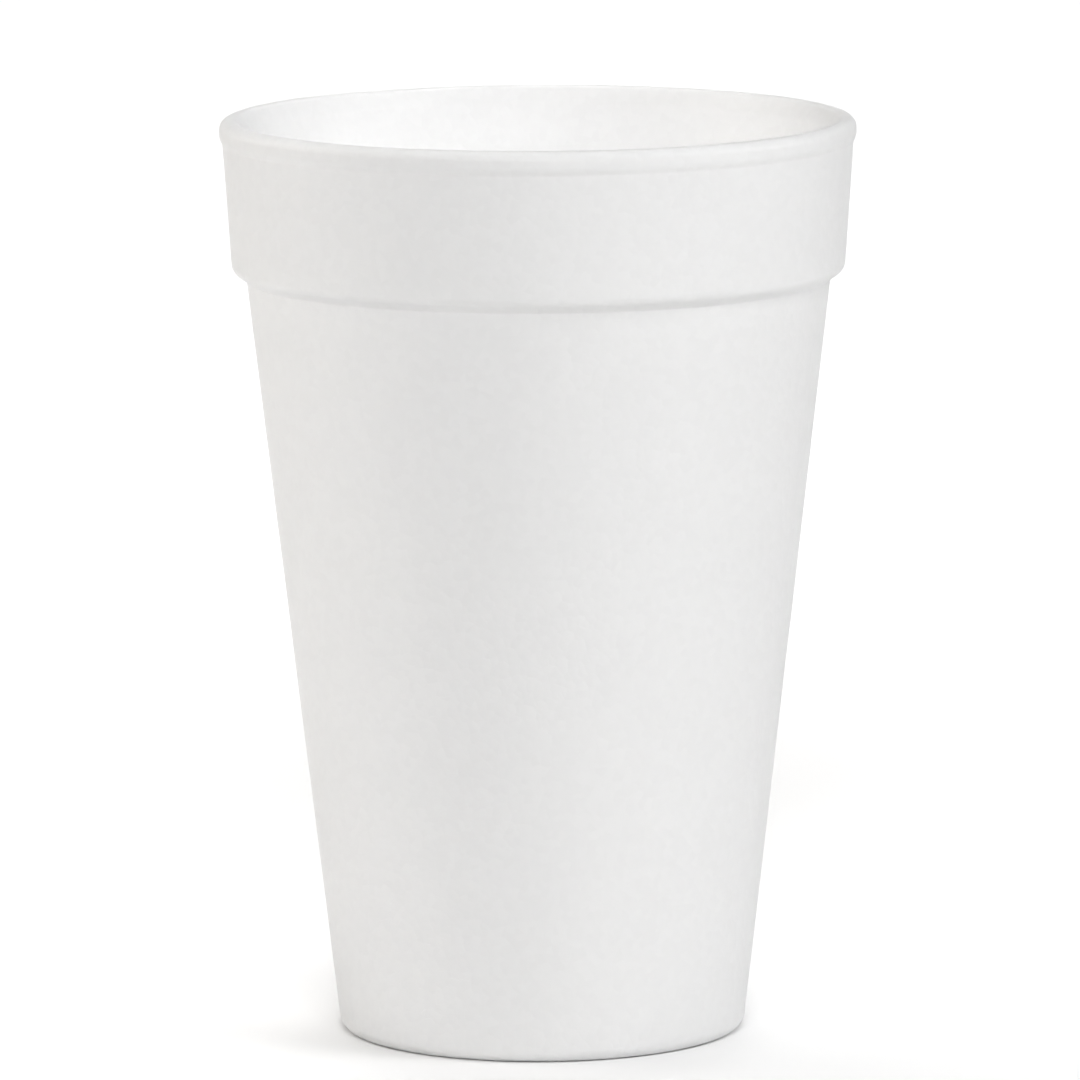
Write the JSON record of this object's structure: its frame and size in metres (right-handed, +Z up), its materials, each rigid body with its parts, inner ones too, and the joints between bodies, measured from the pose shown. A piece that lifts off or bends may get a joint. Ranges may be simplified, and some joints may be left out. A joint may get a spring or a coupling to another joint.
{
  "type": "foam cup",
  "caption": "Empty disposable drinking cup of moulded bead foam: tall tapered wall, thick collar band with a rounded lip, inner stacking ledge and a recessed foot.",
  "frame": {"origin": "middle of the foot, on the plane that the cup stands on", "axes": "+Z up along the axis of the cup, out of its mouth"},
  "size_m": [0.0921, 0.092, 0.1334],
  "materials": {
    "foam": "smooth moulded white bead foam, soft matte with a faint sheen"
  },
  "bodies": {
    "root": {"cup": "foam"}
  },
  "joints": []
}
